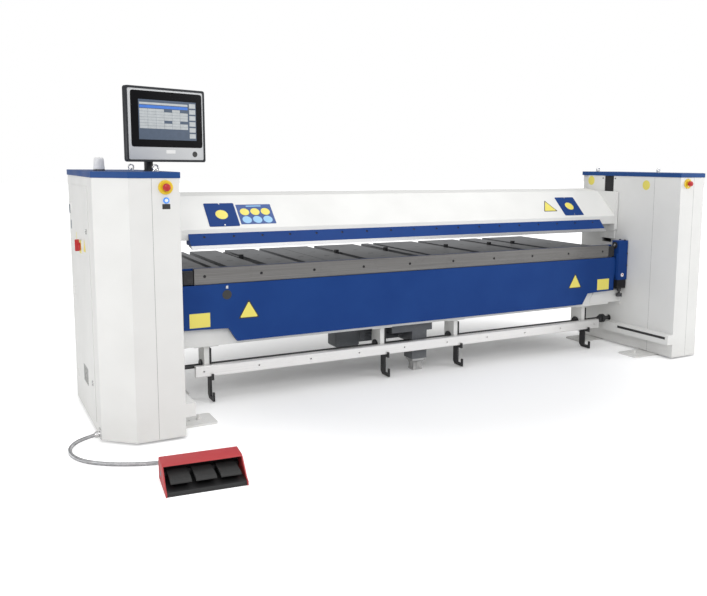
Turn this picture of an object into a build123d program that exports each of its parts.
"""Swing-beam sheet-metal folding machine, 4 m working length, millimetres.

Frame: +X along the bend line, +Y from the operator to the rear, +Z up.  The origin lies on the
floor, at the centre of the four floor anchors.  Two side cabinets carry a fixed lower beam with a
slotted table, a clamping beam that comes down on it, and a folding beam that swings up in front.
"""

import os
from math import cos, pi, radians, sin, tan

from build123d import *

os.makedirs("parts", exist_ok=True)

# ---------------------------------------------------------------------------------------------
# Driving dimensions
# ---------------------------------------------------------------------------------------------
WORK_LENGTH = 4000.0      # bending rail, tool strip and clamping tool
CABINET_ROOM = 240.0      # from the end of the working length to a cabinet's inner face
CABINET_WIDTH = 492.0
CABINET_FRONT = -682.0
CABINET_REAR = 604.0
CABINET_TOP = 1680.0
PANEL_END = 307.0         # width of the flat front panel before the corner chamfer
CHAMFER_BACK = -510.0     # where the corner chamfer meets the outer side
COVER_SEAM = -373.0       # joint between the front cover and the side frame
REAR_STRIP = 523.0        # rear edge of the side frame's wall
COVER_FOOT = 17.0         # gap between a cover and the floor
SHEET = 4.0               # cover thickness
CAP_HEIGHT = 38.0
CAP_LIP = 5.0             # how far a cap stands out past its cabinet

TABLE_TOP = 1018.0
BEND_LINE = -15.0         # Y of the bend line, in line with the table's front edge
PLATE_THICK = 30.0
TABLE_REAR = 1090.0
TABLE_PAST = 60.0         # table past the working length on the left
TABLE_SHORT = 170.0       # table short of the working length on the right
# centre and width of each slot between the table plates
SLOTS = ((-1871, 43), (-1762, 55), (-1466, 75), (-1140, 55), (-932, 6), (-618, 73),
         (-138, 87), (6, 55), (502, 75), (995, 81), (1278, 83))
GAUGE_SLOTS = (-1466, -618, -138, 502, 995, 1278)

BEAM_FRONT = 2.0          # lower beam
BEAM_REAR = 360.0
BEAM_BOTTOM = 432.0
BEAM_PAST = 80.0          # lower beam past the working length at each end
BEAM_WALL = 16.0

LIFT_OPEN = 134.0         # clamping tool above the table, at rest
TOOL_HEIGHT = 26.0
TOOL_LEAN = 48.5          # slope of the tool's front face, in degrees
CARRIER_REAR = 140.0
CLAMP_FRONT = 80.0        # clamping beam section
CLAMP_REAR = 545.0
CLAMP_UNDER = 1212.0
CLAMP_LIP = 1290.0        # top of the upright front lip
CLAMP_TOP_FRONT = 1525.0
CLAMP_TOP_FRONT_Y = 331.0
CLAMP_TOP_REAR = 1548.0
CLAMP_WALL = 12.0
TOOL_BOLTS = 18
TOOL_BOLT_R = 7.0

SLOT_FRONT = 157.0        # upright slot in each side frame for the clamping beam's lug
SLOT_REAR = 283.0
SLOT_BOTTOM = 1020.0
LUG_BOTTOM = 1180.0
LUG_TOP = 1440.0
LUG_GAP = 6.0
END_PLATE = 36.0
END_PLATE_GAP = 7.0

SCREW_IN = 120.0          # lifting screws, from the cabinet's inner face
SCREW_Y = 220.0
SCREW_R = 22.0
SHAFT_Y = 150.0           # drive shaft between the two screw jacks
SHAFT_Z = 255.0
SHAFT_R = 17.0
JACK_BASE = 175.0
JACK_TOP = 335.0

FOLD_FRONT = -57.0        # folding beam and bending rail
FOLD_BACK = -16.5
FOLD_PAST = 83.0          # folding beam past the working length at each end
FOLD_LEDGE = 898.0
FOLD_END_BOTTOM = 577.0
FOLD_BOTTOM = 463.0
FOLD_CHAMFER = (246.0, 310.0)   # slanted lower corner, in from the working length's end
RAIL_THICK = 22.0
RAIL_LIP = 18.0
RAIL_BOLTS = 10
RAIL_BOLT_Z = 961.0
RAIL_BOLT_R = 7.0
PIVOT_R = 30.0
ARM_GAP = 8.0             # pivot arm box, from the cabinet's inner face
ARM_WIDTH = 120.0
ARM_FRONT = -80.0
ARM_BACK = 12.0
ARM_TOP = 1058.0
ARM_BOTTOM = 675.0
ARM_WALL = 12.0
ADJUST_BLOCK_BOTTOM = 590.0
ADJUST_Y = -47.0
ADJUST_R = 12.0

HANGERS = (-1890.0, -405.0, 331.0, 1820.0)   # X of the hangers below the lower beam
HANGER_WEB = 40.0
SPARE_FRONT = 20.0        # spare bending rail on its hooks
SPARE_THICK = 42.0
SPARE_BOTTOM = 195.0
SPARE_TOP = 280.0
SPARE_SHORT = 15.0        # spare rail short of the working length at each end

FLOOR_PLATE = 15.0
FOOT_LENGTH = 355.0       # foot plate, along X and along Y
FOOT_WIDTH = 228.0
FOOT_UNDER = 90.0         # how far a foot plate reaches under its cabinet
FOOT_CORNER = 18.0
ANCHOR_IN = 90.0          # anchor hole, from the cabinet's inner face
ANCHOR_Y = 376.0
ANCHOR_R = 12.0
LEVEL_IN = 162.0          # levelling bolt, from the cabinet's inner face

GAUGE_Y = 900.0           # front face of the gauge beam at rest
GAUGE_REACH = 400.0       # fingers stand this far in front of the gauge beam
GAUGE_RAIL_X = 1300.0
GAUGE_SCREW_R = 16.0
GAUGE_SCREW_Z = 770.0

DOOR_FRONT = -330.0
DOOR_REAR = 431.0
DOOR_BOTTOM = 84.0
DOOR_TOP = 1618.0
DOOR_LAP = 20.0
LOCK_Y = -255.0
LOCK_HEIGHTS = {"upper": 1329.0, "lower": 327.0}
LOCK_R = 14.0
MAIN_SWITCH_Y = 18.0
MAIN_SWITCH_Z = 1208.0

STOP_IN = 87.0            # stop buttons, from the cabinet's inner face and below its top
STOP_DOWN = 56.0
START_IN = 85.0           # start button
START_DOWN = 137.0
START_R = 11.0

POST_IN = 93.0            # control panel's post
POST_Y = -250.0
PANEL_OFF = (108.0, -91.0, 42.0)   # middle of the control panel, from the top of the post
PANEL_TURN = 18.5
PANEL_SIZE = (580.0, 55.0, 477.0)

PEDAL_IN = 393.0          # middle of the foot switch, from the cabinet's outer face
PEDAL_Y = -1432.0
PEDAL_TURN = -5.8
PEDAL_HALF = 222.0
PEDAL_DEPTH = 155.0
PEDAL_HEIGHT = 128.0
TREADLE_SPACING = 135.0
TREADLE_WIDTH = 112.0

CORD_R = 12.5

RUNNING = 0.05            # radial gap of a shaft in its bearing
FREE = 0.3                # gap where two moving pieces only pass each other

# ---------------------------------------------------------------------------------------------
# Derived places
# ---------------------------------------------------------------------------------------------
TOOL_HALF = WORK_LENGTH / 2
INNER_X = TOOL_HALF + CABINET_ROOM
OUTER_X = INNER_X + CABINET_WIDTH
BEAM_HALF = TOOL_HALF + BEAM_PAST
FOLD_HALF = TOOL_HALF + FOLD_PAST
SPARE_HALF = TOOL_HALF - SPARE_SHORT
TABLE_LEFT = -TOOL_HALF - TABLE_PAST
TABLE_RIGHT = TOOL_HALF - TABLE_SHORT
ARM_OUT = INNER_X - ARM_GAP
ARM_IN = ARM_OUT - ARM_WIDTH
ADJUST_X = ARM_OUT - ARM_WIDTH / 2
SCREW_X = INNER_X + SCREW_IN
STOP_X = INNER_X + STOP_IN
STOP_Z = CABINET_TOP - STOP_DOWN
START_X = -INNER_X - START_IN
START_Z = CABINET_TOP - START_DOWN
CHAMFER_X = INNER_X + PANEL_END
WALL_BACK = INNER_X + 20.0             # hidden face of the side frame's wall
PLATE_BOTTOM = TABLE_TOP - PLATE_THICK
TOOL_TIP = TABLE_TOP + LIFT_OPEN
TOOL_TOP = TOOL_TIP + TOOL_HEIGHT
TOOL_TOP_Y = BEND_LINE + TOOL_HEIGHT / tan(radians(TOOL_LEAN))
CARRIER_TOP = TOOL_TOP + (CLAMP_FRONT - TOOL_TOP_Y) * tan(radians(TOOL_LEAN))
END_PLATE_OUT = INNER_X - END_PLATE_GAP
END_PLATE_IN = END_PLATE_OUT - END_PLATE
CLAMP_SLOPE = (CLAMP_TOP_FRONT_Y - CLAMP_FRONT, CLAMP_TOP_FRONT - CLAMP_LIP)
RAIL_BACK = FOLD_FRONT + RAIL_THICK
SIDES = (-1, 1)


# ---------------------------------------------------------------------------------------------
# Shapes used by many pieces
# ---------------------------------------------------------------------------------------------
def block(x, y, z, mode=Mode.ADD):
    """Box between two X, two Y and two Z values, in any order."""
    middle = [sum(pair) / 2 for pair in (x, y, z)]
    size = [abs(pair[1] - pair[0]) for pair in (x, y, z)]
    with Locations(tuple(middle)):
        Box(*size, mode=mode)


def rod(start, direction, radius, length, mode=Mode.ADD):
    """Round bar from a start point along a direction."""
    with Locations(Plane(origin=start, z_dir=direction)):
        Cylinder(radius, length, align=(Align.CENTER, Align.CENTER, Align.MIN), mode=mode)


def bar(points, x_start, x_end, mode=Mode.ADD, frame=Plane.XY):
    """Bar along the frame's X whose section is a closed outline of (Y, Z) points."""
    with BuildSketch(Plane(frame.location * Plane.YZ.offset(x_start).location)) as section:
        with BuildLine():
            Polyline(*points, close=True)
        make_face()
    extrude(section.sketch, amount=x_end - x_start, mode=mode)


def slab(points, z_start, z_end, mode=Mode.ADD):
    """Slab whose outline is a closed line of (X, Y) points."""
    with BuildSketch(Plane.XY.offset(z_start)) as section:
        with BuildLine():
            Polyline(*points, close=True)
        make_face()
    extrude(section.sketch, amount=z_end - z_start, mode=mode)


def save(part, name):
    """Label a finished piece and write its STEP file."""
    part.label = name
    export_step(part, f"parts/{name}.step")


def cabinet_outline(side, grow=0.0):
    """Plan of a cabinet, stood out by grow on every side."""
    corner = grow * tan(radians(22.5))
    return [
        (side * (INNER_X - grow), CABINET_FRONT - grow),
        (side * (CHAMFER_X + corner), CABINET_FRONT - grow),
        (side * (OUTER_X + grow), CHAMFER_BACK - corner),
        (side * (OUTER_X + grow), CABINET_REAR + grow),
        (side * (INNER_X - grow), CABINET_REAR + grow),
    ]


# ---------------------------------------------------------------------------------------------
# Side frames: base, wall with the lug slot, posts, jack pedestal and guideways
# ---------------------------------------------------------------------------------------------
BASE_BOTTOM = 20.0
BASE_TOP = 45.0
POST = 60.0
SKIRT_IN = INNER_X - 65.0              # the low ledge that stands out of each inner face
SKIRT_END = 160.0
SKIRT_Z = (141.0, 230.0)
SKIRT_SLOT = ((-648.0, -35.0), (187.0, 212.0))
BRACKET_TOP = CABINET_TOP - 40.0       # bracket at the top of each lifting screw
BRACKET_BOTTOM = CABINET_TOP - 70.0
GUIDE_TOP = CABINET_TOP - 80.0
GUIDE_DEPTH = 20.0
GUIDES = ((120.0, 150.0), (290.0, 320.0))

with BuildPart() as side_frames:
    for side in SIDES:
        block((side * INNER_X, side * WALL_BACK), (COVER_SEAM, REAR_STRIP), (BASE_BOTTOM, CABINET_TOP))
        block((side * WALL_BACK, side * (OUTER_X - 16)), (-490, 590), (BASE_BOTTOM, BASE_TOP))
        block((side * (OUTER_X - 16 - POST), side * (OUTER_X - 16)), (530, 590), (BASE_TOP, CABINET_TOP))
        block((side * (OUTER_X - 36 - POST), side * (OUTER_X - 36)), (-480, -420), (BASE_TOP, CABINET_TOP))
        block((side * WALL_BACK, side * (WALL_BACK + POST)), (-440, -380), (BASE_TOP, CABINET_TOP))
        block((side * WALL_BACK, side * (OUTER_X - 16)), (450, 510), (CABINET_TOP - POST, CABINET_TOP))
        block((side * (OUTER_X - 16 - POST), side * (OUTER_X - 16)), (450, 530),
              (CABINET_TOP - POST, CABINET_TOP))
        block((side * WALL_BACK, side * (OUTER_X - 36)), (-440, -420), (CABINET_TOP - POST, CABINET_TOP))
        # pedestal of the screw jack and top bracket of the screw
        block((side * (SCREW_X - 70), side * (SCREW_X + 70)), (110, 290), (BASE_TOP, JACK_BASE))
        block((side * WALL_BACK, side * (SCREW_X + 60)), (110, 340), (BRACKET_BOTTOM, BRACKET_TOP))
        rod((side * SCREW_X, SCREW_Y, GUIDE_TOP), (0, 0, 1), 15 + RUNNING, 60, Mode.SUBTRACT)
        # guideways of the clamping beam
        for low, high in GUIDES:
            block((side * WALL_BACK, side * (WALL_BACK + GUIDE_DEPTH)), (low, high),
                  (SLOT_BOTTOM + 20, GUIDE_TOP))
        # openings in the wall
        block((side * (INNER_X - 1), side * (WALL_BACK + 1)), (SLOT_FRONT, SLOT_REAR),
              (SLOT_BOTTOM, CABINET_TOP + 1), Mode.SUBTRACT)
        rod((side * (INNER_X - 1), BEND_LINE, TABLE_TOP), (side, 0, 0), PIVOT_R + 4, 40, Mode.SUBTRACT)
        rod((side * (INNER_X - 1), SHAFT_Y, SHAFT_Z), (side, 0, 0), SHAFT_R + 13, 40, Mode.SUBTRACT)
        # low ledge with its long slot
        block((side * SKIRT_IN, side * INNER_X), (COVER_SEAM, SKIRT_END), SKIRT_Z)
        block((side * (SKIRT_IN - 1), side * (SKIRT_IN + 40)), (COVER_SEAM, SKIRT_SLOT[0][1]), SKIRT_SLOT[1],
              Mode.SUBTRACT)
save(side_frames.part, "side_frames")

# ---------------------------------------------------------------------------------------------
# Cabinet covers, caps and door
# ---------------------------------------------------------------------------------------------
for side, label in ((-1, "left"), (1, "right")):
    with BuildPart() as front_cover:
        with BuildSketch(Plane.XY.offset(COVER_FOOT)):
            with BuildLine():
                Polyline(*cabinet_outline(side), close=True)
            make_face()
            offset(amount=-SHEET, kind=Kind.INTERSECTION, mode=Mode.SUBTRACT)
        extrude(amount=CABINET_TOP - COVER_FOOT)
        # the side frame and the rear cover close the rest
        block((side * (INNER_X - 1), side * (INNER_X + SHEET + 1)), (COVER_SEAM, CABINET_REAR + 1),
              (0, CABINET_TOP + 1), Mode.SUBTRACT)
        block((side * (INNER_X - 1), side * (OUTER_X - SHEET)), (CABINET_REAR - SHEET - 1, CABINET_REAR + 1),
              (0, CABINET_TOP + 1), Mode.SUBTRACT)
        # front end of the low ledge
        block((side * SKIRT_IN, side * INNER_X), (CABINET_FRONT, COVER_SEAM), SKIRT_Z)
        block((side * (SKIRT_IN - 1), side * (SKIRT_IN + 40)), (SKIRT_SLOT[0][0], COVER_SEAM), SKIRT_SLOT[1],
              Mode.SUBTRACT)
        rod((side * STOP_X, CABINET_FRONT - 1, STOP_Z), (0, 1, 0), 14, SHEET + 2, Mode.SUBTRACT)
        if side < 0:
            rod((START_X, CABINET_FRONT - 1, START_Z), (0, 1, 0), START_R + FREE, SHEET + 2, Mode.SUBTRACT)
            block((-OUTER_X - 1, -OUTER_X + SHEET + 1), (DOOR_FRONT + DOOR_LAP, DOOR_REAR - DOOR_LAP),
                  (DOOR_BOTTOM + DOOR_LAP, DOOR_TOP - DOOR_LAP), Mode.SUBTRACT)
    save(front_cover.part, f"front_cover_{label}")

REAR_RETURN = INNER_X + 14.0
with BuildPart() as rear_covers:
    for side in SIDES:
        block((side * REAR_RETURN, side * (OUTER_X - SHEET)), (CABINET_REAR - SHEET, CABINET_REAR),
              (COVER_FOOT, CABINET_TOP))
        block((side * REAR_RETURN, side * (REAR_RETURN + SHEET)), (REAR_STRIP, CABINET_REAR - SHEET),
              (COVER_FOOT, CABINET_TOP))
save(rear_covers.part, "rear_covers")

with BuildPart() as top_caps:
    for side in SIDES:
        slab(cabinet_outline(side, CAP_LIP), CABINET_TOP, CABINET_TOP + CAP_HEIGHT)
        slab(cabinet_outline(side, -30.0), CABINET_TOP - 1, CABINET_TOP + CAP_HEIGHT - 6, Mode.SUBTRACT)
save(top_caps.part, "top_caps")

DOOR_FACE = -OUTER_X - SHEET
HINGE_AT = (-OUTER_X - 6.0, DOOR_REAR + 6.0)
with BuildPart() as cabinet_door:
    block((-OUTER_X, DOOR_FACE), (DOOR_FRONT, DOOR_REAR), (DOOR_BOTTOM, DOOR_TOP))
    for z in (240.0, 851.0, 1462.0):
        rod((*HINGE_AT, z - 30), (0, 0, 1), 5, 60)
        block((-OUTER_X - 1, DOOR_FACE - 2), (DOOR_REAR - 20, HINGE_AT[1] - 1), (z - 30, z + 30))
    for z in LOCK_HEIGHTS.values():
        rod((-OUTER_X + 1, LOCK_Y, z), (-1, 0, 0), LOCK_R + FREE, SHEET + 2, Mode.SUBTRACT)
    block((DOOR_FACE, DOOR_FACE - 6), (MAIN_SWITCH_Y - 45, MAIN_SWITCH_Y + 45),
          (MAIN_SWITCH_Z - 45, MAIN_SWITCH_Z + 45))
save(cabinet_door.part, "cabinet_door")

for label, height in LOCK_HEIGHTS.items():
    with BuildPart() as door_lock:
        rod((-OUTER_X + 6, LOCK_Y, height), (-1, 0, 0), LOCK_R, SHEET + 6)
        rod((DOOR_FACE, LOCK_Y, height), (-1, 0, 0), LOCK_R + 5, 4)
        block((DOOR_FACE - 3, DOOR_FACE - 9), (LOCK_Y - 3, LOCK_Y + 3), (height - 15, height + 15))
        # cam, turned clear of the cover's edge when the lock is open
        block((-OUTER_X + 5, -OUTER_X + 8), (LOCK_Y - 7, LOCK_Y + 7), (height - 10, height + 65))
    save(door_lock.part, f"door_lock_{label}")

SWITCH_FACE = DOOR_FACE - 6
with BuildPart() as main_switch_handle:
    rod((SWITCH_FACE, MAIN_SWITCH_Y, MAIN_SWITCH_Z), (-1, 0, 0), 28, 14)
    block((SWITCH_FACE - 10, SWITCH_FACE - 34), (MAIN_SWITCH_Y - 9, MAIN_SWITCH_Y + 9),
          (MAIN_SWITCH_Z - 30, MAIN_SWITCH_Z + 50))
save(main_switch_handle.part, "main_switch_handle")

# ---------------------------------------------------------------------------------------------
# Switches on the front panels
# ---------------------------------------------------------------------------------------------
STOP_RING = 12.0
with BuildPart() as switch_bases:
    for side in SIDES:
        rod((side * STOP_X, CABINET_FRONT, STOP_Z), (0, -1, 0), 45, STOP_RING)
        rod((side * STOP_X, CABINET_FRONT + 1, STOP_Z), (0, -1, 0), 13, STOP_RING + 2, Mode.SUBTRACT)
    rod((START_X, CABINET_FRONT, START_Z), (0, -1, 0), START_R + 8, 8)
    rod((START_X, CABINET_FRONT + 1, START_Z), (0, -1, 0), START_R, 12, Mode.SUBTRACT)
save(switch_bases.part, "switch_bases")

for side, label in ((-1, "left"), (1, "right")):
    with BuildPart() as stop_button:
        rod((side * STOP_X, CABINET_FRONT + 20, STOP_Z), (0, -1, 0), 13 - FREE, 50)
        rod((side * STOP_X, CABINET_FRONT - STOP_RING - 12, STOP_Z), (0, -1, 0), 24, 28)
        fillet(stop_button.edges().group_by(Axis.Y)[0], 8)
    save(stop_button.part, f"emergency_stop_{label}")

with BuildPart() as start_button:
    rod((START_X, CABINET_FRONT + 15, START_Z), (0, -1, 0), START_R - FREE, 27)
save(start_button.part, "start_button")

# ---------------------------------------------------------------------------------------------
# On the caps: beacon, lifting eyes, control panel
# ---------------------------------------------------------------------------------------------
CAP_TOP = CABINET_TOP + CAP_HEIGHT
BEACON_AT = (112.0 - OUTER_X, -100.0)
BEACON_R = 35.0
BEACON_BASE = 8.0
with BuildPart() as beacon_base:
    rod((*BEACON_AT, CAP_TOP), (0, 0, 1), BEACON_R + 2, BEACON_BASE)
save(beacon_base.part, "beacon_base")

with BuildPart() as beacon_dome:
    with Locations((*BEACON_AT, CAP_TOP + BEACON_BASE)):
        Cone(BEACON_R, BEACON_R - 4, 80, align=(Align.CENTER, Align.CENTER, Align.MIN))
    fillet(beacon_dome.edges().group_by(Axis.Z)[-1], 22)
save(beacon_dome.part, "beacon_dome")

EYE_X = INNER_X + 70.0
EYE_Y = (-345.0, 460.0)
EYE_HEIGHT = 23.0
with BuildPart() as lifting_eyes:
    for side in SIDES:
        for y in EYE_Y:
            rod((side * EYE_X, y, CAP_TOP), (0, 0, 1), 20, 8)
            with Locations(Plane(origin=(side * EYE_X, y, CAP_TOP + EYE_HEIGHT), z_dir=(0, 1, 0))):
                Torus(17.5, 5.5)
            rod((side * EYE_X, y, CAP_TOP), (0, 0, 1), 10, 14)
save(lifting_eyes.part, "lifting_eyes")

POST_R = 28.0
POST_AT = (-INNER_X - POST_IN, POST_Y)
POST_TOP = CAP_TOP + 257.0
PANEL_AT = tuple(Vector(*POST_AT, POST_TOP) + Vector(*PANEL_OFF))
with BuildPart() as monitor_post:
    rod((*POST_AT, CAP_TOP), (0, 0, 1), POST_R + 5, 8)
    rod((*POST_AT, CAP_TOP), (0, 0, 1), POST_R, POST_TOP - CAP_TOP)
save(monitor_post.part, "monitor_post")

panel_plane = Plane(origin=PANEL_AT, x_dir=(cos(radians(PANEL_TURN)), sin(radians(PANEL_TURN)), 0),
                    z_dir=(0, 0, 1))
post_local = panel_plane.to_local_coords(Vector(*POST_AT, POST_TOP))
PANEL_HALF = PANEL_SIZE[0] / 2
PANEL_DEEP = PANEL_SIZE[1]
PANEL_UP = PANEL_SIZE[2] / 2
TILT_BACK = PANEL_DEEP + 26.0          # tilt axis behind the panel's back
TILT_R = 9.0
TILT_LUGS = (4.0, 84.0)                # near sides of the panel's two lugs
TILT_LUG = 8.0
LUG_REACH = 14.0
ARM_REAR = TILT_BACK + 21.0
TILT_Z = post_local.Z + 37.0
with BuildPart(panel_plane) as monitor_arm:
    rod((post_local.X, post_local.Y, post_local.Z), (0, 0, 1), POST_R + 8, 74)
    block((post_local.X, TILT_LUGS[1] - 2), (ARM_REAR, ARM_REAR + 16), (TILT_Z - 17, TILT_Z + 17))
    block((TILT_LUGS[0] + TILT_LUG + 2, TILT_LUGS[1] - 2), (TILT_BACK - 12, ARM_REAR),
          (TILT_Z - 17, TILT_Z + 17))
    rod((TILT_LUGS[0] - 4, TILT_BACK, TILT_Z), (1, 0, 0), TILT_R, TILT_LUGS[1] - TILT_LUGS[0] + 16)
save(monitor_arm.part, "monitor_arm")

with BuildPart(panel_plane) as monitor_housing:
    block((-PANEL_HALF, PANEL_HALF), (0, PANEL_DEEP), (-PANEL_UP, PANEL_UP))
    fillet(monitor_housing.edges().filter_by(Axis((0, 0, 0), panel_plane.y_dir)), 14)
    block((-PANEL_HALF + 14, PANEL_HALF - 14), (-1, 4), (-PANEL_UP + 14, PANEL_UP - 14), Mode.SUBTRACT)
    for x in TILT_LUGS:
        block((x, x + TILT_LUG), (PANEL_DEEP, TILT_BACK + LUG_REACH),
              (TILT_Z - LUG_REACH, TILT_Z + LUG_REACH))
        rod((x - 1, TILT_BACK, TILT_Z), (1, 0, 0), TILT_R + RUNNING, TILT_LUG + 2, Mode.SUBTRACT)
save(monitor_housing.part, "monitor_housing")

with BuildPart(panel_plane) as monitor_screen:
    block((-PANEL_HALF + 15, PANEL_HALF - 15), (0, 4), (-PANEL_UP + 15, PANEL_UP - 15))
save(monitor_screen.part, "monitor_screen")

# ---------------------------------------------------------------------------------------------
# Lower beam with its front edge, brackets and hangers
# ---------------------------------------------------------------------------------------------
with BuildPart() as lower_beam:
    block((-BEAM_HALF, BEAM_HALF), (BEAM_FRONT, BEAM_REAR), (BEAM_BOTTOM, PLATE_BOTTOM))
    block((-BEAM_HALF - 1, BEAM_HALF + 1), (BEAM_FRONT + BEAM_WALL, BEAM_REAR - BEAM_WALL),
          (BEAM_BOTTOM + BEAM_WALL, PLATE_BOTTOM - BEAM_WALL), Mode.SUBTRACT)
    for x in (-1390.0, -700.0, 0.0, 700.0, 1390.0):
        block((x - 6, x + 6), (BEAM_FRONT + 1, BEAM_REAR - 1), (BEAM_BOTTOM + 1, PLATE_BOTTOM - 1))
    for side in SIDES:
        # end bracket that bolts to the side frame
        bracket_in = BEAM_HALF - 240
        bracket = [(side * INNER_X, 449.0), (side * INNER_X, 562.0), (side * (bracket_in + 40), 562.0),
                   (side * bracket_in, 500.0), (side * bracket_in, 449.0)]
        with BuildSketch(Plane.XZ.offset(4.0)) as outline:
            with BuildLine():
                Polyline(*bracket, close=True)
            make_face()
        extrude(outline.sketch, amount=-18.0)
        block((side * BEAM_HALF, side * INNER_X), (14, 330), (449, 465))
        block((side * BEAM_HALF, side * INNER_X), (14, 330), (546, 562))
        block((side * (INNER_X - 18), side * INNER_X), (-4, 330), (420, 600))
    rod((0, BEAM_REAR + 1, GAUGE_SCREW_Z), (0, -1, 0), 12 + RUNNING, BEAM_WALL + 2, Mode.SUBTRACT)
save(lower_beam.part, "lower_beam")

with BuildPart() as front_edge_strip:
    block((-BEAM_HALF, BEAM_HALF), (BEND_LINE + 0.5, BEAM_FRONT), (TABLE_TOP - 92, TABLE_TOP))
save(front_edge_strip.part, "front_edge_strip")

plate_edges = [TABLE_LEFT]
for centre, width in SLOTS:
    plate_edges += [centre - width / 2, centre + width / 2]
plate_edges.append(TABLE_RIGHT)
plate_spans = list(zip(plate_edges[0::2], plate_edges[1::2]))

with BuildPart() as table_plates:
    for left, right in plate_spans:
        block((left, right), (BEAM_FRONT, TABLE_REAR), (PLATE_BOTTOM, TABLE_TOP))
        # bolt slots in two rows on the wide plates
        if right - left > 150:
            for y in (110.0, 330.0, 620.0, 900.0):
                with Locations(((left + right) / 2, y, TABLE_TOP)):
                    Box(46, 12, 2 * 8, mode=Mode.SUBTRACT)
save(table_plates.part, "table_plates")

GUSSETS = ((TABLE_LEFT + 20, TABLE_LEFT + 50), (TABLE_RIGHT - 50, TABLE_RIGHT - 20))
RIB_BOTTOM = PLATE_BOTTOM - 70.0
TUBE_FRONT = TABLE_REAR - 50.0
GAUGE_RAIL_Z = (780.0, 820.0)
with BuildPart() as table_frame:
    for left, right in plate_spans:
        middle = (left + right) / 2
        half = min(right - left, 60.0) / 2
        block((middle - half, middle + half), (BEAM_REAR, TABLE_REAR), (RIB_BOTTOM, PLATE_BOTTOM))
    block((GUSSETS[0][0], GUSSETS[1][1]), (TUBE_FRONT, TABLE_REAR), (RIB_BOTTOM - 60, RIB_BOTTOM))
    for low, high in GUSSETS:
        bar([(BEAM_REAR, 560), (BEAM_REAR, PLATE_BOTTOM), (TABLE_REAR, PLATE_BOTTOM),
             (TABLE_REAR, RIB_BOTTOM - 60)], low, high)
    for side in SIDES:
        rail_x = side * GAUGE_RAIL_X
        block((rail_x - 20, rail_x + 20), (BEAM_REAR, TABLE_REAR), GAUGE_RAIL_Z)
        block((rail_x - 20, rail_x + 20), (TUBE_FRONT, TABLE_REAR), (GAUGE_RAIL_Z[0], RIB_BOTTOM))
    block((-40, 40), (TUBE_FRONT, TABLE_REAR), (GAUGE_SCREW_Z - 40, RIB_BOTTOM))
    rod((0, TUBE_FRONT - 1, GAUGE_SCREW_Z), (0, 1, 0), 12 + RUNNING, 60, Mode.SUBTRACT)
save(table_frame.part, "table_frame")

# ---------------------------------------------------------------------------------------------
# Back gauge
# ---------------------------------------------------------------------------------------------
GAUGE_Z = (GAUGE_RAIL_Z[1] + 20, GAUGE_RAIL_Z[1] + 78)
with BuildPart() as gauge_beam:
    block((GUSSETS[0][1] + 110, GUSSETS[1][0] - 80), (GAUGE_Y, GAUGE_Y + 60), GAUGE_Z)
    for side in SIDES:
        rail_x = side * GAUGE_RAIL_X
        block((rail_x - 40, rail_x + 40), (GAUGE_Y - 30, GAUGE_Y + 90), (GAUGE_RAIL_Z[1] + FREE, GAUGE_Z[0]))
        for edge in (-1, 1):
            block((rail_x + edge * (20 + FREE), rail_x + edge * 40), (GAUGE_Y - 30, GAUGE_Y + 90),
                  (GAUGE_RAIL_Z[0] + 5, GAUGE_Z[0]))
    block((-40, 40), (GAUGE_Y, GAUGE_Y + 60), (GAUGE_SCREW_Z - 40, GAUGE_Z[0]))
    rod((0, GAUGE_Y - 1, GAUGE_SCREW_Z), (0, 1, 0), GAUGE_SCREW_R + RUNNING, 70, Mode.SUBTRACT)
save(gauge_beam.part, "gauge_beam")

FINGER_Z = (PLATE_BOTTOM + 4, TABLE_TOP - 4)
with BuildPart() as gauge_fingers:
    for x in GAUGE_SLOTS:
        block((x - 15, x + 15), (GAUGE_Y, GAUGE_Y + 60), (GAUGE_Z[1], FINGER_Z[1]))
        block((x - 15, x + 15), (GAUGE_Y - GAUGE_REACH, GAUGE_Y), FINGER_Z)
        block((x - 15, x + 15), (GAUGE_Y - GAUGE_REACH, GAUGE_Y - GAUGE_REACH + 30),
              (FINGER_Z[0], TABLE_TOP + 22))
save(gauge_fingers.part, "gauge_fingers")

with BuildPart() as gauge_screw:
    rod((0, BEAM_REAR + 1, GAUGE_SCREW_Z), (0, 1, 0), GAUGE_SCREW_R, TUBE_FRONT - BEAM_REAR - 2)
    rod((0, BEAM_REAR - BEAM_WALL, GAUGE_SCREW_Z), (0, 1, 0), 12, TABLE_REAR - BEAM_REAR + BEAM_WALL - 2)
save(gauge_screw.part, "gauge_screw")

# ---------------------------------------------------------------------------------------------
# Hangers, storage hooks and the spare rail
# ---------------------------------------------------------------------------------------------
HANGER_FRONT = 66.0
HANGER_REAR = 222.0
BEARING_R = 34.0
with BuildPart() as beam_hangers:
    for x in HANGERS:
        block((x - 92, x + 92), (HANGER_FRONT - 4, HANGER_REAR + 18), (BEAM_BOTTOM - 20, BEAM_BOTTOM))
        block((x - HANGER_WEB / 2, x + HANGER_WEB / 2), (HANGER_FRONT, HANGER_REAR), (190, BEAM_BOTTOM - 20))
        rod((x - HANGER_WEB, SHAFT_Y, SHAFT_Z), (1, 0, 0), BEARING_R, 2 * HANGER_WEB, Mode.SUBTRACT)
save(beam_hangers.part, "beam_hangers")

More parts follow.
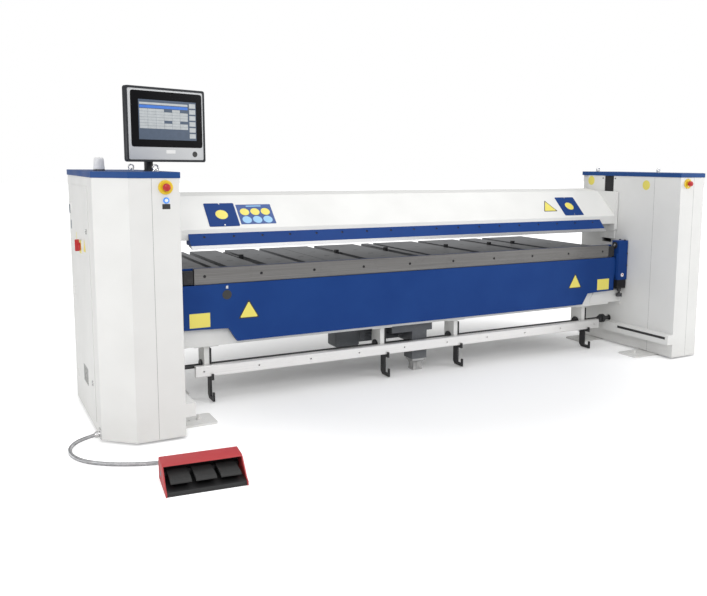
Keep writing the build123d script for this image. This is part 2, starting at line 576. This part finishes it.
SPARE_BACK = SPARE_FRONT + SPARE_THICK
HOOK_THICK = 15.0
HOOK_OUTLINE = [
    (SPARE_BACK + 0.5, 400.0), (SPARE_BACK + 70.0, 400.0), (SPARE_BACK + 70.0, 34.0),
    (SPARE_BACK + 44.0, 8.0), (SPARE_FRONT - 32.0, 8.0), (SPARE_FRONT - 32.0, 76.0),
    (SPARE_FRONT - 12.0, 76.0), (SPARE_FRONT - 12.0, 36.0), (SPARE_BACK + 0.5, 36.0),
    (SPARE_BACK + 0.5, SPARE_BOTTOM - 26.0), (SPARE_FRONT - 19.0, SPARE_BOTTOM - 26.0),
    (SPARE_FRONT - 19.0, SPARE_BOTTOM + 20.0), (SPARE_FRONT - 0.5, SPARE_BOTTOM + 20.0),
    (SPARE_FRONT - 0.5, SPARE_BOTTOM), (SPARE_BACK + 0.5, SPARE_BOTTOM),
]
with BuildPart() as storage_hooks:
    for x in HANGERS:
        bar(HOOK_OUTLINE, x + HANGER_WEB / 2, x + HANGER_WEB / 2 + HOOK_THICK)
save(storage_hooks.part, "storage_hooks")

RAIL_PITCH = (WORK_LENGTH - 149.8) / (RAIL_BOLTS - 1)
rail_bolt_xs = [RAIL_PITCH * (i - (RAIL_BOLTS - 1) / 2) for i in range(RAIL_BOLTS)]
with BuildPart() as spare_rail:
    bar([(SPARE_FRONT, SPARE_BOTTOM + 6), (SPARE_FRONT, SPARE_TOP - 6), (SPARE_FRONT + 6, SPARE_TOP),
         (SPARE_BACK, SPARE_TOP), (SPARE_BACK, SPARE_BOTTOM), (SPARE_FRONT + 6, SPARE_BOTTOM)],
        -SPARE_HALF, SPARE_HALF)
    for x in rail_bolt_xs:
        rod((x, SPARE_FRONT - 1, (SPARE_BOTTOM + SPARE_TOP) / 2), (0, 1, 0), RAIL_BOLT_R, SPARE_THICK + 2,
            Mode.SUBTRACT)
save(spare_rail.part, "spare_rail")

# ---------------------------------------------------------------------------------------------
# Lifting drive: gearmotor, shaft, jacks and screws
# ---------------------------------------------------------------------------------------------
GEARBOX = ((-100.0, 46.0), (90.0, 230.0), (104.0, 350.0))
MOTOR_Y = 310.0
MOTOR_Z = 335.0
MOTOR_R = 76.0
with BuildPart() as drive_gearbox:
    block(*GEARBOX)
    block((-300, 100), (90, 230), (GEARBOX[2][1], BEAM_BOTTOM))
    block((-100, 46), (230, MOTOR_Y + 80), (250, GEARBOX[2][1]))
    rod((-101, SHAFT_Y, SHAFT_Z), (1, 0, 0), SHAFT_R + FREE, 150, Mode.SUBTRACT)
save(drive_gearbox.part, "drive_gearbox")

with BuildPart() as drive_motors:
    rod((-100, MOTOR_Y, MOTOR_Z), (-1, 0, 0), MOTOR_R, 450)
    block((-760, -540), (MOTOR_Y - 85, MOTOR_Y + 85), (MOTOR_Z - 85, MOTOR_Z + 80))
    block((-45, 45), (TABLE_REAR, TABLE_REAR + 140), (GAUGE_SCREW_Z - 45, GAUGE_SCREW_Z + 45))
save(drive_motors.part, "drive_motors")

STAND_X = (GEARBOX[0][0] + GEARBOX[0][1]) / 2
STAND_Y = (GEARBOX[1][0] + GEARBOX[1][1]) / 2
with BuildPart() as drive_stand:
    with Locations((STAND_X, STAND_Y, GEARBOX[2][0] - 10)):
        Box(138, 132, 20)
    with Locations((STAND_X, STAND_Y, 6)):
        Box(96, 96, 12)
    rod((STAND_X, STAND_Y, 1), (0, 0, 1), 36, 90)
    for turn in range(4):
        with Locations(Plane(origin=(STAND_X, STAND_Y, 48),
                             x_dir=(cos(radians(45 + 90 * turn)), sin(radians(45 + 90 * turn)), 0))):
            with Locations((40, 0, 0)):
                Box(28, 10, 92)
save(drive_stand.part, "drive_stand")

with BuildPart() as bearing_blocks:
    for x in HANGERS:
        rod((x - HANGER_WEB / 2 - 10, SHAFT_Y, SHAFT_Z), (1, 0, 0), BEARING_R + 14, 10)
        rod((x - HANGER_WEB / 2 - 10, SHAFT_Y, SHAFT_Z), (1, 0, 0), BEARING_R - 0.2, HANGER_WEB + 8)
        rod((x - HANGER_WEB, SHAFT_Y, SHAFT_Z), (1, 0, 0), SHAFT_R + RUNNING, 2 * HANGER_WEB, Mode.SUBTRACT)
    for side in SIDES:
        rod((side * WALL_BACK, BEND_LINE, TABLE_TOP), (side, 0, 0), 72, 50)
        rod((side * (WALL_BACK - 1), BEND_LINE, TABLE_TOP), (side, 0, 0), PIVOT_R + RUNNING, 60,
            Mode.SUBTRACT)
save(bearing_blocks.part, "bearing_blocks")

FLANGE_AT = INNER_X - 110.0
with BuildPart() as drive_shaft:
    rod((-SCREW_X - 20, SHAFT_Y, SHAFT_Z), (1, 0, 0), SHAFT_R, 2 * SCREW_X + 40)
    for side in SIDES:
        rod((side * FLANGE_AT, SHAFT_Y, SHAFT_Z), (side, 0, 0), 42, 14)
        rod((side * (FLANGE_AT + 18), SHAFT_Y, SHAFT_Z), (side, 0, 0), 42, 14)
        rod((side * (FLANGE_AT - 30), SHAFT_Y, SHAFT_Z), (side, 0, 0), 28, 70)
save(drive_shaft.part, "drive_shaft")

with BuildPart() as screw_jacks:
    for side in SIDES:
        block((side * (SCREW_X - 68), side * (SCREW_X + 68)), (112, 288), (JACK_BASE, JACK_TOP))
        rod((side * (SCREW_X - 69), SHAFT_Y, SHAFT_Z), (side, 0, 0), SHAFT_R + RUNNING, 95, Mode.SUBTRACT)
        rod((side * SCREW_X, SCREW_Y, JACK_TOP + 1), (0, 0, -1), SCREW_R + RUNNING, 91, Mode.SUBTRACT)
save(screw_jacks.part, "screw_jacks")

for side, label in ((-1, "left"), (1, "right")):
    with BuildPart() as lift_screw:
        rod((side * SCREW_X, SCREW_Y, JACK_TOP - 90), (0, 0, 1), SCREW_R, GUIDE_TOP + 6 - JACK_TOP + 90)
        rod((side * SCREW_X, SCREW_Y, GUIDE_TOP), (0, 0, 1), 15, 38)
    save(lift_screw.part, f"lift_screw_{label}")

# ---------------------------------------------------------------------------------------------
# Clamping beam
# ---------------------------------------------------------------------------------------------
CLAMP_SECTION = [(CLAMP_REAR, CLAMP_TOP_REAR), (CLAMP_TOP_FRONT_Y, CLAMP_TOP_FRONT),
                 (CLAMP_FRONT, CLAMP_LIP), (CLAMP_FRONT, CLAMP_UNDER), (CLAMP_REAR, CLAMP_UNDER)]
with BuildPart() as clamp_beam:
    with BuildSketch(Plane.YZ.offset(-END_PLATE_IN)):
        with BuildLine():
            Polyline(*CLAMP_SECTION, close=True)
        make_face()
        offset(amount=-CLAMP_WALL, kind=Kind.INTERSECTION, mode=Mode.SUBTRACT)
    extrude(amount=2 * END_PLATE_IN)
save(clamp_beam.part, "clamp_beam")

WING = ((WALL_BACK + 0.5, WALL_BACK + 50.0), (LUG_BOTTOM + 20, LUG_TOP - 20))
NUT_R = 40.0
with BuildPart() as beam_end_plates:
    for side in SIDES:
        x_in = min(side * END_PLATE_IN, side * END_PLATE_OUT)
        with BuildSketch(Plane.YZ.offset(x_in)) as outline:
            with BuildLine():
                Polyline((CLAMP_FRONT, 1138), (CLAMP_FRONT, 1527), (520, 1527), (520, CLAMP_UNDER),
                         (300, 1138), close=True)
            make_face()
            fillet(outline.vertices().group_by(Axis.Z)[-1].sort_by(Axis.Y)[0], 28)
        extrude(outline.sketch, amount=END_PLATE)
        block((side * (END_PLATE_OUT - 21), side * END_PLATE_OUT), (92, 292), (1062, 1140))
        # lug through the frame's slot, with wings that ride on the guideways
        block((side * END_PLATE_OUT, side * (SCREW_X + 52)), (SLOT_FRONT + LUG_GAP, SLOT_REAR - LUG_GAP),
              (LUG_BOTTOM, LUG_TOP))
        block((side * (WALL_BACK + GUIDE_DEPTH + 0.5), side * WING[0][1]),
              (GUIDES[0][0] - 16, GUIDES[1][1] + 16), WING[1])
        block((side * WING[0][0], side * WING[0][1]), (GUIDES[0][0] - 16, GUIDES[0][0] - 0.5), WING[1])
        block((side * WING[0][0], side * WING[0][1]), (GUIDES[1][1] + 0.5, GUIDES[1][1] + 16), WING[1])
        rod((side * SCREW_X, SCREW_Y, LUG_BOTTOM - 1), (0, 0, 1), NUT_R, LUG_TOP - LUG_BOTTOM + 2,
            Mode.SUBTRACT)
        # nut, held by its flange on top of the lug
        rod((side * SCREW_X, SCREW_Y, LUG_TOP - 140), (0, 0, 1), NUT_R - 0.2, 140)
        rod((side * SCREW_X, SCREW_Y, LUG_TOP), (0, 0, 1), NUT_R + 12, 15)
        rod((side * SCREW_X, SCREW_Y, LUG_TOP - 150), (0, 0, 1), SCREW_R + RUNNING, 170, Mode.SUBTRACT)
save(beam_end_plates.part, "beam_end_plates")

SHUTTER_TOP = CABINET_TOP - 2.0
with BuildPart() as slot_shutters:
    for side in SIDES:
        block((side * (INNER_X + 3), side * (INNER_X + 7)), (SLOT_FRONT + 3, SLOT_REAR - 3),
              (LUG_TOP, SHUTTER_TOP))
save(slot_shutters.part, "slot_shutters")

BOLT_UP = 0.7             # height of the bolt row on the strip's face
with BuildPart() as tool_carrier:
    bar([(TOOL_TOP_Y, TOOL_TOP), (CLAMP_FRONT, CARRIER_TOP), (CLAMP_FRONT, CLAMP_UNDER),
         (CARRIER_REAR, CLAMP_UNDER), (CARRIER_REAR, TOOL_TOP)], -TOOL_HALF, TOOL_HALF)
    face_normal = Vector(0, -sin(radians(TOOL_LEAN)), cos(radians(TOOL_LEAN)))
    bolt_y = TOOL_TOP_Y + BOLT_UP * (CLAMP_FRONT - TOOL_TOP_Y)
    bolt_z = TOOL_TOP + BOLT_UP * (CARRIER_TOP - TOOL_TOP)
    bolt_xs = [WORK_LENGTH / TOOL_BOLTS * (i - (TOOL_BOLTS - 1) / 2) for i in range(TOOL_BOLTS)]
    for x in bolt_xs:
        start = Vector(x, bolt_y, bolt_z) + face_normal
        rod(start, face_normal * -1, TOOL_BOLT_R + 3, 11, Mode.SUBTRACT)
        rod(start, face_normal * -1, TOOL_BOLT_R, 23, Mode.SUBTRACT)
save(tool_carrier.part, "tool_carrier")

with BuildPart() as tool_bolts:
    for x in bolt_xs:
        head = Vector(x, bolt_y, bolt_z) - face_normal * 3
        rod(head, face_normal * -1, TOOL_BOLT_R + 2.6, 7)
        rod(head, face_normal * -1, TOOL_BOLT_R - 0.3, 18)
save(tool_bolts.part, "tool_bolts")

with BuildPart() as clamping_tool:
    bar([(BEND_LINE, TOOL_TIP), (TOOL_TOP_Y, TOOL_TOP), (78, TOOL_TOP), (78, TOOL_TOP - 6),
         (40, TOOL_TIP + 12), (BEND_LINE + 6, TOOL_TIP)], -TOOL_HALF, TOOL_HALF)
save(clamping_tool.part, "clamping_tool")

# access panels on the slanted front
slope_length = (CLAMP_SLOPE[0] ** 2 + CLAMP_SLOPE[1] ** 2) ** 0.5
slope_dir = Vector(0, CLAMP_SLOPE[0] / slope_length, CLAMP_SLOPE[1] / slope_length)
slope_normal = Vector(0, -slope_dir.Z, slope_dir.Y)
PANEL_LOW = 23.0          # from the slope's lower edge to the panel's lower edge
PANEL_TALL = 238.0
with BuildPart() as access_panels:
    for centre in (281.0 - TOOL_HALF, TOOL_HALF - 305.0):
        foot = Vector(centre, CLAMP_FRONT, CLAMP_LIP) + slope_dir * (PANEL_LOW + PANEL_TALL / 2)
        with BuildSketch(Plane(origin=foot, x_dir=(1, 0, 0), z_dir=slope_normal)) as outline:
            RectangleRounded(232, PANEL_TALL, 10)
        extrude(outline.sketch, amount=3)
save(access_panels.part, "access_panels")

# ---------------------------------------------------------------------------------------------
# Folding beam
# ---------------------------------------------------------------------------------------------
corner_out = TOOL_HALF - FOLD_CHAMFER[0]
corner_in = TOOL_HALF - FOLD_CHAMFER[1]
with BuildPart() as folding_beam:
    with BuildSketch(Plane.XZ.offset(-FOLD_FRONT)) as outline:
        with BuildLine():
            Polyline((-FOLD_HALF, FOLD_LEDGE), (FOLD_HALF, FOLD_LEDGE), (FOLD_HALF, FOLD_END_BOTTOM),
                     (corner_out, FOLD_END_BOTTOM - 12), (corner_in, FOLD_BOTTOM),
                     (-corner_in, FOLD_BOTTOM), (-corner_out, FOLD_END_BOTTOM - 12),
                     (-FOLD_HALF, FOLD_END_BOTTOM), close=True)
        make_face()
    extrude(outline.sketch, amount=FOLD_FRONT - FOLD_BACK)
    # web behind the bending rail
    block((-TOOL_HALF, TOOL_HALF), (RAIL_BACK + 0.5, FOLD_BACK), (FOLD_LEDGE, TABLE_TOP - RAIL_LIP - 1))
    for x in rail_bolt_xs:
        rod((x, FOLD_FRONT, RAIL_BOLT_Z), (0, 1, 0), RAIL_BOLT_R, 60, Mode.SUBTRACT)
    for side in SIDES:
        # slide that runs between the pivot arm's gibs, and the nut of the adjusting spindle
        block((side * FOLD_HALF, side * (ARM_IN - 0.5)), (-55.5, -38.5), (720, 880))
        block((side * FOLD_HALF, side * (ADJUST_X + 22)), (-55, -39), (762, 812))
        block((side * (ADJUST_X - 22), side * (ADJUST_X + 22)), (ADJUST_Y - 18, ADJUST_Y + 18), (752, 820))
        rod((side * ADJUST_X, ADJUST_Y, 700), (0, 0, 1), ADJUST_R + RUNNING, 150, Mode.SUBTRACT)
save(folding_beam.part, "folding_beam")

with BuildPart() as bending_rail:
    bar([(FOLD_FRONT + 8, FOLD_LEDGE), (FOLD_FRONT, FOLD_LEDGE + 14), (FOLD_FRONT, TABLE_TOP),
         (FOLD_BACK + 1, TABLE_TOP),
         (FOLD_BACK + 1, TABLE_TOP - RAIL_LIP), (RAIL_BACK, TABLE_TOP - RAIL_LIP), (RAIL_BACK, FOLD_LEDGE)],
        -TOOL_HALF, TOOL_HALF)
    for x in rail_bolt_xs:
        rod((x, FOLD_FRONT - 1, RAIL_BOLT_Z), (0, 1, 0), RAIL_BOLT_R + 4, 11, Mode.SUBTRACT)
        rod((x, FOLD_FRONT - 1, RAIL_BOLT_Z), (0, 1, 0), RAIL_BOLT_R, 40, Mode.SUBTRACT)
save(bending_rail.part, "bending_rail")

with BuildPart() as rail_bolts:
    for x in rail_bolt_xs:
        rod((x, FOLD_FRONT + 2, RAIL_BOLT_Z), (0, 1, 0), RAIL_BOLT_R + 3.6, 8)
        rod((x, FOLD_FRONT + 2, RAIL_BOLT_Z), (0, 1, 0), RAIL_BOLT_R - 0.3, 36)
save(rail_bolts.part, "rail_bolts")

with BuildPart() as pivot_arms:
    for side in SIDES:
        block((side * ARM_IN, side * ARM_OUT), (ARM_FRONT, ARM_BACK), (ARM_BOTTOM, ARM_TOP))
        block((side * (ARM_IN + ARM_WALL), side * (ARM_OUT - ARM_WALL)), (-68, -24), (687, 950),
              Mode.SUBTRACT)
        block((side * (ARM_IN - 1), side * (ARM_IN + ARM_WALL + 1)), (-56, -38), (700, 930), Mode.SUBTRACT)
        block((side * ARM_IN, side * (ARM_OUT - 7)), (-75, -17), (ADJUST_BLOCK_BOTTOM, ARM_BOTTOM))
        for low, high in ((-74, -56), (-38, -20)):
            block((side * (ARM_IN - 12), side * ARM_IN), (low, high), (690, 930))
        rod((side * ADJUST_X, ADJUST_Y, ADJUST_BLOCK_BOTTOM - 1), (0, 0, 1), ADJUST_R + RUNNING, 110,
            Mode.SUBTRACT)
        # stub shaft in the frame's bearing and the gearmotor
        rod((side * (ARM_OUT - 1), BEND_LINE, TABLE_TOP), (side, 0, 0), PIVOT_R, 190)
    # tie that joins the two arms behind the folding beam
    block((-ARM_IN, ARM_IN), (FOLD_BACK + 1, FOLD_BACK + 10), (700, 780))
save(pivot_arms.part, "pivot_arms")

for side, label in ((-1, "left"), (1, "right")):
    with BuildPart() as adjust_spindle:
        rod((side * ADJUST_X, ADJUST_Y, 520), (0, 0, 1), ADJUST_R, 400)
        rod((side * ADJUST_X, ADJUST_Y, 506), (0, 0, 1), 30, 30)
        rod((side * ADJUST_X, ADJUST_Y, 560), (0, 0, 1), 18, ADJUST_BLOCK_BOTTOM - 560 - FREE)
    save(adjust_spindle.part, f"adjust_spindle_{label}")

with BuildPart() as fold_gearmotors:
    for side in SIDES:
        near = WALL_BACK + 50.0
        block((side * near, side * (near + 120)), (BEND_LINE - 95, BEND_LINE + 95), (925, 1115))
        rod((side * (near + 60), BEND_LINE - 35, 640), (0, 0, 1), 64, 286)
        rod((side * (near - 1), BEND_LINE, TABLE_TOP), (side, 0, 0), PIVOT_R + FREE, 122, Mode.SUBTRACT)
save(fold_gearmotors.part, "fold_gearmotors")

# ---------------------------------------------------------------------------------------------
# Floor plates and anchors
# ---------------------------------------------------------------------------------------------
with BuildPart() as floor_plates:
    for side in SIDES:
        for y in (-ANCHOR_Y, ANCHOR_Y):
            with BuildSketch(Plane.XY) as outline:
                with Locations((side * (INNER_X + FOOT_UNDER - FOOT_LENGTH / 2), y)):
                    RectangleRounded(FOOT_LENGTH, FOOT_WIDTH, FOOT_CORNER)
            extrude(outline.sketch, amount=FLOOR_PLATE)
            block((side * (WALL_BACK + 2), side * (INNER_X + FOOT_UNDER - FOOT_CORNER)), (y - 90, y + 90),
                  (FLOOR_PLATE, BASE_BOTTOM))
            rod((side * (INNER_X - ANCHOR_IN), y, -1), (0, 0, 1), ANCHOR_R, FLOOR_PLATE + 2, Mode.SUBTRACT)
            rod((side * (INNER_X - LEVEL_IN), y, FLOOR_PLATE), (0, 0, 1), 19, 12)
            rod((side * (INNER_X - LEVEL_IN), y, FLOOR_PLATE), (0, 0, 1), 11, 34)
        for y in (-440, 520):
            block((side * (OUTER_X - 132), side * (OUTER_X - 32)), (y - 50, y + 50), (0, BASE_BOTTOM))
save(floor_plates.part, "floor_plates")

# ---------------------------------------------------------------------------------------------
# Foot switch
# ---------------------------------------------------------------------------------------------
pedal_plane = Plane(origin=(PEDAL_IN - OUTER_X, PEDAL_Y, 0),
                    x_dir=(cos(radians(PEDAL_TURN)), sin(radians(PEDAL_TURN)), 0), z_dir=(0, 0, 1))
HOOD_WALL = 7.0
HINGE_Y = 78.0
HINGE_Z = 52.0
HINGE_R = 5.0
BASE_HALF = PEDAL_HALF - HOOD_WALL
treadle_xs = {"left": -TREADLE_SPACING, "middle": 0.0, "right": TREADLE_SPACING}

with BuildPart(pedal_plane) as pedal_base:
    block((-BASE_HALF, BASE_HALF), (-PEDAL_DEPTH + 12, PEDAL_DEPTH - HOOD_WALL), (0, 26))
    block((-BASE_HALF, BASE_HALF), (100, PEDAL_DEPTH - HOOD_WALL), (26, 86))
    for x in (-1.5, -0.5, 0.5, 1.5):
        block((x * TREADLE_SPACING - 7, x * TREADLE_SPACING + 7), (HINGE_Y - 14, 100), (26, 66))
    rod((-1.5 * TREADLE_SPACING - 7, HINGE_Y, HINGE_Z), (1, 0, 0), HINGE_R, 3 * TREADLE_SPACING + 14)
save(pedal_base.part, "pedal_base")

with BuildPart(pedal_plane) as pedal_hood:
    side_profile = [(-PEDAL_DEPTH, 3), (-PEDAL_DEPTH, 26), (-PEDAL_DEPTH + 40, 40), (-12, PEDAL_HEIGHT - 8),
                    (14, PEDAL_HEIGHT), (PEDAL_DEPTH - 10, PEDAL_HEIGHT), (PEDAL_DEPTH, PEDAL_HEIGHT - 14),
                    (PEDAL_DEPTH, 3)]
    bar(side_profile, -PEDAL_HALF, PEDAL_HALF, frame=pedal_plane)
    block((-BASE_HALF, BASE_HALF), (-PEDAL_DEPTH - 1, PEDAL_DEPTH - HOOD_WALL),
          (-1, PEDAL_HEIGHT - HOOD_WALL), Mode.SUBTRACT)
    block((-BASE_HALF, BASE_HALF), (-PEDAL_DEPTH - 1, -14), (-1, PEDAL_HEIGHT + 1), Mode.SUBTRACT)
save(pedal_hood.part, "pedal_hood")

for label, x in treadle_xs.items():
    with BuildPart(pedal_plane) as treadle:
        bar([(-118, 58), (-118, 66), (-96, 74), (HINGE_Y + 8, 74), (HINGE_Y + 12, 62), (HINGE_Y + 9, 42),
             (HINGE_Y - 10, 42)],
            x - TREADLE_WIDTH / 2, x + TREADLE_WIDTH / 2, frame=pedal_plane)
        rod((x - TREADLE_WIDTH, HINGE_Y, HINGE_Z), (1, 0, 0), HINGE_R + RUNNING, 2 * TREADLE_WIDTH,
            Mode.SUBTRACT)
    save(treadle.part, f"treadle_{label}")

# ---------------------------------------------------------------------------------------------
# Armoured cord between the left cabinet and the foot switch
# ---------------------------------------------------------------------------------------------
# X is measured from the left cabinet's outer face
CORD_ROUTE = [
    (-40, -475, 45),
    (-118, -482, 34),
    (-182, -530, 21),
    (-208, -618, 13),
    (-196, -728, 13),
    (-148, -832, 13),
    (-62, -918, 13),
    (42, -984, 13),
    (150, -1034, 13),
    (250, -1061, 13),
    (345, -1079, 13),
    (438, -1081, 13),
    (499, -1122, 15),
    (528, -1188, 22),
    (521, -1258, 32),
]
cord_points = [Vector(x - OUTER_X, y, z) for x, y, z in CORD_ROUTE]
runs = [(b - a).length for a, b in zip(cord_points, cord_points[1:])]
cord_radii = []
for before, at, after in zip(cord_points, cord_points[1:], cord_points[2:]):
    turn = radians((at - before).get_angle(after - at))
    cord_radii.append(0.45 * min((at - before).length, (after - at).length) / tan(turn / 2))
print("cord radii in diameters:", [round(radius / (2 * CORD_R), 1) for radius in cord_radii])

with BuildPart() as conduit:
    with BuildLine() as cord_path:
        FilletPolyline(*cord_points, radius=cord_radii)
    with BuildSketch(Plane(origin=cord_points[0], z_dir=cord_points[1] - cord_points[0])):
        Circle(CORD_R)
    sweep()
save(conduit.part, "conduit")
cord_length = cord_path.wires()[0].length
cord_volume = cord_length * pi * CORD_R ** 2
print("cord length", round(cord_length), "volume ratio", round(conduit.part.volume / cord_volume, 4))

with BuildPart() as cord_glands:
    cabinet_dir = (cord_points[0] - cord_points[1]).normalized()
    rod(cord_points[0], cabinet_dir, CORD_R + 4, 36)
    rod(cord_points[0] + cabinet_dir * 8, cabinet_dir, CORD_R + 8, 16)
    block((-OUTER_X, -OUTER_X - 8), (-504, -440), (18, 82))
    pedal_dir = (cord_points[-1] - cord_points[-2]).normalized()
    rod(cord_points[-1], pedal_dir, CORD_R + 4, 28)
    rod(cord_points[-1] + pedal_dir * 5, pedal_dir, CORD_R + 7, 12)
    with Locations(pedal_plane):
        with Locations((110, PEDAL_DEPTH + 3, 36)):
            Box(48, 6, 48)
save(cord_glands.part, "cord_glands")
